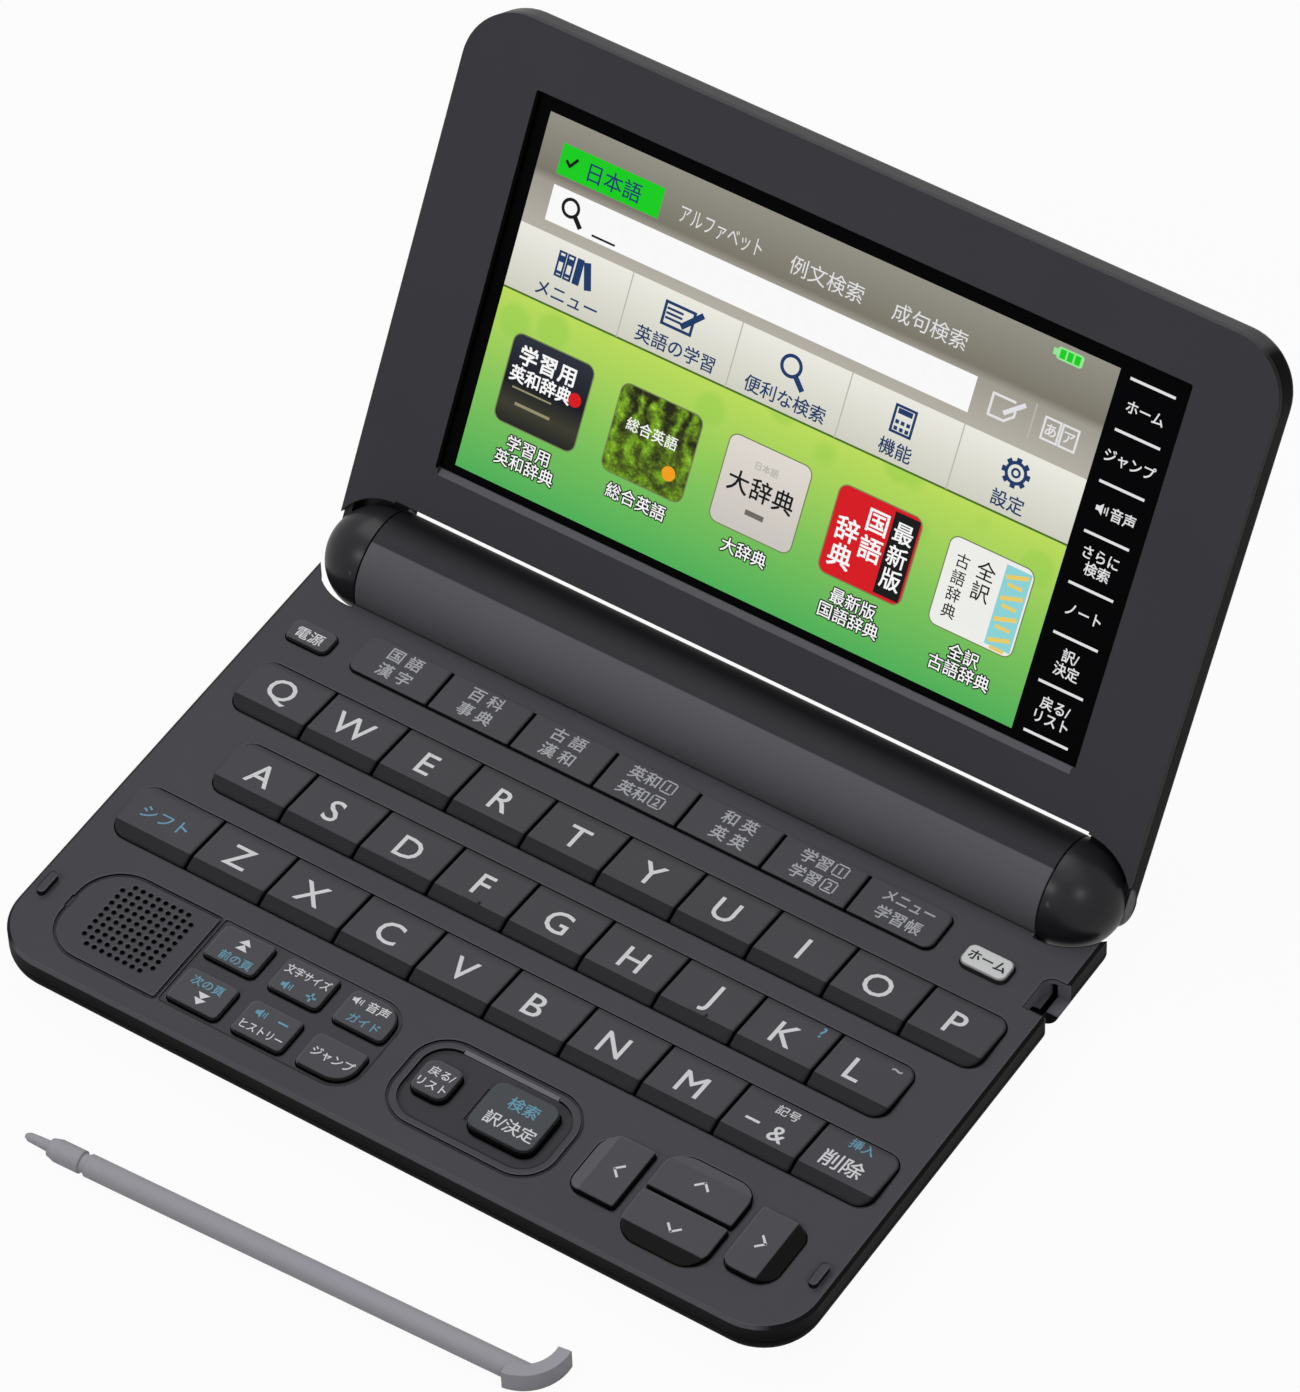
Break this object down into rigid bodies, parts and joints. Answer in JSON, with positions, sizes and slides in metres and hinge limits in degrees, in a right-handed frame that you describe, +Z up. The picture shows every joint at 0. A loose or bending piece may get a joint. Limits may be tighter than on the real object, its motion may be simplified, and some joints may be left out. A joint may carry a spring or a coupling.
{
  "type": "electronic dictionary",
  "caption": "Clamshell electronic dictionary: colour display in the lid, battery barrel hinge between two domes, stepped keyboard, speaker grille and a stylus with its silo.",
  "frame": {"origin": "centre of the lower case's flat underside, in the middle of the width and of the closed depth", "axes": "+X to the user's right, +Y to the back, +Z up; the lid is open 120 degrees at rest"},
  "size_m": [0.148, 0.1747, 0.0926],
  "materials": {
    "case_plastic": "dark charcoal moulded plastic, fine texture",
    "deck_plastic": "dark charcoal moulded plastic, satin",
    "cover_plastic": "dark charcoal moulded plastic",
    "key_plastic": "charcoal key caps, fine texture, printed legends",
    "home_silver": "silver painted cap",
    "cell_jacket": "plain printed cell jacket",
    "board": "green circuit board",
    "key_rubber": "grey silicone sheet",
    "speaker_black": "black speaker",
    "pin_steel": "plated steel",
    "foot_rubber": "black rubber",
    "display": "display module with its frame",
    "panel_glass": "black-edged touch panel over the display",
    "stylus_grey": "light grey moulded plastic"
  },
  "bodies": {
    "base": {"lower_case": "case_plastic", "keyboard_deck": "deck_plastic", "battery_barrel": "case_plastic", "aa_cells": "cell_jacket", "main_board": "board", "key_membrane": "key_rubber", "speaker": "speaker_black", "hinge_pins": "pin_steel", "rubber_feet": "foot_rubber", "screws": "pin_steel"},
    "lid": {"lid_cover": "case_plastic", "lid_bezel": "deck_plastic", "lcd_module": "display", "touch_panel": "panel_glass"},
    "battery_cover": {"battery_cover": "cover_plastic"},
    "stylus": {"stylus": "stylus_grey"},
    "shortcut_strip": {"shortcut_keys": "key_plastic"},
    "cap_power": {"key_power": "key_plastic"},
    "cap_home": {"key_home": "home_silver"},
    "cap_q": {"key_q": "key_plastic"},
    "cap_w": {"key_w": "key_plastic"},
    "cap_e": {"key_e": "key_plastic"},
    "cap_r": {"key_r": "key_plastic"},
    "cap_t": {"key_t": "key_plastic"},
    "cap_y": {"key_y": "key_plastic"},
    "cap_u": {"key_u": "key_plastic"},
    "cap_i": {"key_i": "key_plastic"},
    "cap_o": {"key_o": "key_plastic"},
    "cap_p": {"key_p": "key_plastic"},
    "cap_a": {"key_a": "key_plastic"},
    "cap_s": {"key_s": "key_plastic"},
    "cap_d": {"key_d": "key_plastic"},
    "cap_f": {"key_f": "key_plastic"},
    "cap_g": {"key_g": "key_plastic"},
    "cap_h": {"key_h": "key_plastic"},
    "cap_j": {"key_j": "key_plastic"},
    "cap_k": {"key_k": "key_plastic"},
    "cap_l": {"key_l": "key_plastic"},
    "cap_shift": {"key_shift": "key_plastic"},
    "cap_z": {"key_z": "key_plastic"},
    "cap_x": {"key_x": "key_plastic"},
    "cap_c": {"key_c": "key_plastic"},
    "cap_v": {"key_v": "key_plastic"},
    "cap_b": {"key_b": "key_plastic"},
    "cap_n": {"key_n": "key_plastic"},
    "cap_m": {"key_m": "key_plastic"},
    "cap_symbol": {"key_symbol": "key_plastic"},
    "cap_delete": {"key_delete": "key_plastic"},
    "cap_page_up": {"key_page_up": "key_plastic"},
    "cap_page_down": {"key_page_down": "key_plastic"},
    "cap_text_size": {"key_text_size": "key_plastic"},
    "cap_history": {"key_history": "key_plastic"},
    "cap_voice": {"key_voice": "key_plastic"},
    "cap_jump": {"key_jump": "key_plastic"},
    "cap_back": {"key_back": "key_plastic"},
    "cap_enter": {"key_enter": "key_plastic"},
    "cap_left": {"key_left": "key_plastic"},
    "cap_right": {"key_right": "key_plastic"},
    "cap_up": {"key_up": "key_plastic"},
    "cap_down": {"key_down": "key_plastic"}
  },
  "joints": [
    {"name": "lid_hinge", "type": "hinge", "parent": "base", "child": "lid", "pos_m": [0, 0.04375, 0.0091], "axis": [1, 0, 0], "range_deg": [-30, 120]},
    {"name": "battery_cover_slide", "type": "slide", "parent": "base", "child": "battery_cover", "axis": [0, 1, 0], "range_m": [0, 0.015]},
    {"name": "stylus_lift", "type": "slide", "parent": "base", "child": "stylus", "axis": [0, 0, 1], "range_m": [0, 0.12]},
    {"name": "shortcut_press", "type": "slide", "parent": "base", "child": "shortcut_strip", "axis": [0, 0, -1], "range_m": [0, 0.0006], "stiffness_N_per_m": 900},
    {"name": "power_press", "type": "slide", "parent": "base", "child": "cap_power", "axis": [0, 0, -1], "range_m": [0, 0.0006], "stiffness_N_per_m": 600},
    {"name": "home_press", "type": "slide", "parent": "base", "child": "cap_home", "axis": [0, 0, -1], "range_m": [0, 0.0006], "stiffness_N_per_m": 600},
    {"name": "q_press", "type": "slide", "parent": "base", "child": "cap_q", "axis": [0, 0, -1], "range_m": [0, 0.001], "stiffness_N_per_m": 600},
    {"name": "w_press", "type": "slide", "parent": "base", "child": "cap_w", "axis": [0, 0, -1], "range_m": [0, 0.001], "stiffness_N_per_m": 600},
    {"name": "e_press", "type": "slide", "parent": "base", "child": "cap_e", "axis": [0, 0, -1], "range_m": [0, 0.001], "stiffness_N_per_m": 600},
    {"name": "r_press", "type": "slide", "parent": "base", "child": "cap_r", "axis": [0, 0, -1], "range_m": [0, 0.001], "stiffness_N_per_m": 600},
    {"name": "t_press", "type": "slide", "parent": "base", "child": "cap_t", "axis": [0, 0, -1], "range_m": [0, 0.001], "stiffness_N_per_m": 600},
    {"name": "y_press", "type": "slide", "parent": "base", "child": "cap_y", "axis": [0, 0, -1], "range_m": [0, 0.001], "stiffness_N_per_m": 600},
    {"name": "u_press", "type": "slide", "parent": "base", "child": "cap_u", "axis": [0, 0, -1], "range_m": [0, 0.001], "stiffness_N_per_m": 600},
    {"name": "i_press", "type": "slide", "parent": "base", "child": "cap_i", "axis": [0, 0, -1], "range_m": [0, 0.001], "stiffness_N_per_m": 600},
    {"name": "o_press", "type": "slide", "parent": "base", "child": "cap_o", "axis": [0, 0, -1], "range_m": [0, 0.001], "stiffness_N_per_m": 600},
    {"name": "p_press", "type": "slide", "parent": "base", "child": "cap_p", "axis": [0, 0, -1], "range_m": [0, 0.001], "stiffness_N_per_m": 600},
    {"name": "a_press", "type": "slide", "parent": "base", "child": "cap_a", "axis": [0, 0, -1], "range_m": [0, 0.001], "stiffness_N_per_m": 600},
    {"name": "s_press", "type": "slide", "parent": "base", "child": "cap_s", "axis": [0, 0, -1], "range_m": [0, 0.001], "stiffness_N_per_m": 600},
    {"name": "d_press", "type": "slide", "parent": "base", "child": "cap_d", "axis": [0, 0, -1], "range_m": [0, 0.001], "stiffness_N_per_m": 600},
    {"name": "f_press", "type": "slide", "parent": "base", "child": "cap_f", "axis": [0, 0, -1], "range_m": [0, 0.001], "stiffness_N_per_m": 600},
    {"name": "g_press", "type": "slide", "parent": "base", "child": "cap_g", "axis": [0, 0, -1], "range_m": [0, 0.001], "stiffness_N_per_m": 600},
    {"name": "h_press", "type": "slide", "parent": "base", "child": "cap_h", "axis": [0, 0, -1], "range_m": [0, 0.001], "stiffness_N_per_m": 600},
    {"name": "j_press", "type": "slide", "parent": "base", "child": "cap_j", "axis": [0, 0, -1], "range_m": [0, 0.001], "stiffness_N_per_m": 600},
    {"name": "k_press", "type": "slide", "parent": "base", "child": "cap_k", "axis": [0, 0, -1], "range_m": [0, 0.001], "stiffness_N_per_m": 600},
    {"name": "l_press", "type": "slide", "parent": "base", "child": "cap_l", "axis": [0, 0, -1], "range_m": [0, 0.001], "stiffness_N_per_m": 600},
    {"name": "shift_press", "type": "slide", "parent": "base", "child": "cap_shift", "axis": [0, 0, -1], "range_m": [0, 0.001], "stiffness_N_per_m": 600},
    {"name": "z_press", "type": "slide", "parent": "base", "child": "cap_z", "axis": [0, 0, -1], "range_m": [0, 0.001], "stiffness_N_per_m": 600},
    {"name": "x_press", "type": "slide", "parent": "base", "child": "cap_x", "axis": [0, 0, -1], "range_m": [0, 0.001], "stiffness_N_per_m": 600},
    {"name": "c_press", "type": "slide", "parent": "base", "child": "cap_c", "axis": [0, 0, -1], "range_m": [0, 0.001], "stiffness_N_per_m": 600},
    {"name": "v_press", "type": "slide", "parent": "base", "child": "cap_v", "axis": [0, 0, -1], "range_m": [0, 0.001], "stiffness_N_per_m": 600},
    {"name": "b_press", "type": "slide", "parent": "base", "child": "cap_b", "axis": [0, 0, -1], "range_m": [0, 0.001], "stiffness_N_per_m": 600},
    {"name": "n_press", "type": "slide", "parent": "base", "child": "cap_n", "axis": [0, 0, -1], "range_m": [0, 0.001], "stiffness_N_per_m": 600},
    {"name": "m_press", "type": "slide", "parent": "base", "child": "cap_m", "axis": [0, 0, -1], "range_m": [0, 0.001], "stiffness_N_per_m": 600},
    {"name": "symbol_press", "type": "slide", "parent": "base", "child": "cap_symbol", "axis": [0, 0, -1], "range_m": [0, 0.001], "stiffness_N_per_m": 600},
    {"name": "delete_press", "type": "slide", "parent": "base", "child": "cap_delete", "axis": [0, 0, -1], "range_m": [0, 0.001], "stiffness_N_per_m": 600},
    {"name": "page_up_press", "type": "slide", "parent": "base", "child": "cap_page_up", "axis": [0, 0, -1], "range_m": [0, 0.001], "stiffness_N_per_m": 600},
    {"name": "page_down_press", "type": "slide", "parent": "base", "child": "cap_page_down", "axis": [0, 0, -1], "range_m": [0, 0.001], "stiffness_N_per_m": 600},
    {"name": "text_size_press", "type": "slide", "parent": "base", "child": "cap_text_size", "axis": [0, 0, -1], "range_m": [0, 0.001], "stiffness_N_per_m": 600},
    {"name": "history_press", "type": "slide", "parent": "base", "child": "cap_history", "axis": [0, 0, -1], "range_m": [0, 0.001], "stiffness_N_per_m": 600},
    {"name": "voice_press", "type": "slide", "parent": "base", "child": "cap_voice", "axis": [0, 0, -1], "range_m": [0, 0.001], "stiffness_N_per_m": 600},
    {"name": "jump_press", "type": "slide", "parent": "base", "child": "cap_jump", "axis": [0, 0, -1], "range_m": [0, 0.001], "stiffness_N_per_m": 600},
    {"name": "back_press", "type": "slide", "parent": "base", "child": "cap_back", "axis": [0, 0, -1], "range_m": [0, 0.001], "stiffness_N_per_m": 600},
    {"name": "enter_press", "type": "slide", "parent": "base", "child": "cap_enter", "axis": [0, 0, -1], "range_m": [0, 0.001], "stiffness_N_per_m": 600},
    {"name": "left_press", "type": "slide", "parent": "base", "child": "cap_left", "axis": [0, 0, -1], "range_m": [0, 0.001], "stiffness_N_per_m": 600},
    {"name": "right_press", "type": "slide", "parent": "base", "child": "cap_right", "axis": [0, 0, -1], "range_m": [0, 0.001], "stiffness_N_per_m": 600},
    {"name": "up_press", "type": "slide", "parent": "base", "child": "cap_up", "axis": [0, 0, -1], "range_m": [0, 0.001], "stiffness_N_per_m": 600},
    {"name": "down_press", "type": "slide", "parent": "base", "child": "cap_down", "axis": [0, 0, -1], "range_m": [0, 0.001], "stiffness_N_per_m": 600}
  ]
}
